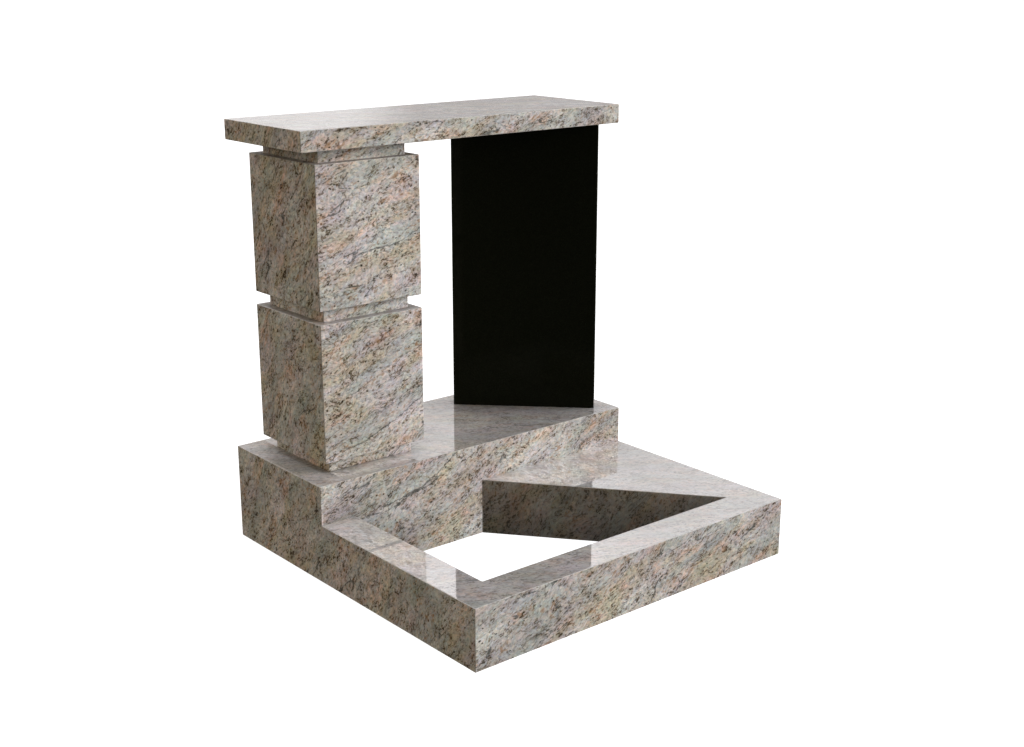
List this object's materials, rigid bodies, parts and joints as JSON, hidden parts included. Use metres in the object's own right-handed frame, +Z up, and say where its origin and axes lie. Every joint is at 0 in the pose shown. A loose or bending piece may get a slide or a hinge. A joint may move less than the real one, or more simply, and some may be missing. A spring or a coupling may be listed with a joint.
{
  "type": "cremation memorial",
  "caption": "Polished granite cremation memorial: kerbed square base round an open planting bed, raised rear plinth, stacked block pillar and turned black tablet carrying a flat lintel.",
  "frame": {"origin": "centre of the square base's footprint, on the ground", "axes": "+X to the right along the front kerb, +Y from the front kerb to the rear plinth, +Z up"},
  "size_m": [1, 1, 1.1],
  "materials": {
    "granite": "polished",
    "black_granite": "polished"
  },
  "bodies": {
    "root": {"rear_plinth": "granite", "left_kerb": "granite", "right_kerb": "granite", "front_kerb": "granite", "corner_block": "granite", "pillar_base_spacer": "granite", "pillar_lower_block": "granite", "pillar_middle_spacer": "granite", "pillar_upper_block": "granite", "pillar_top_spacer": "granite", "lintel_slab": "granite", "black_tablet": "black_granite"}
  },
  "joints": []
}
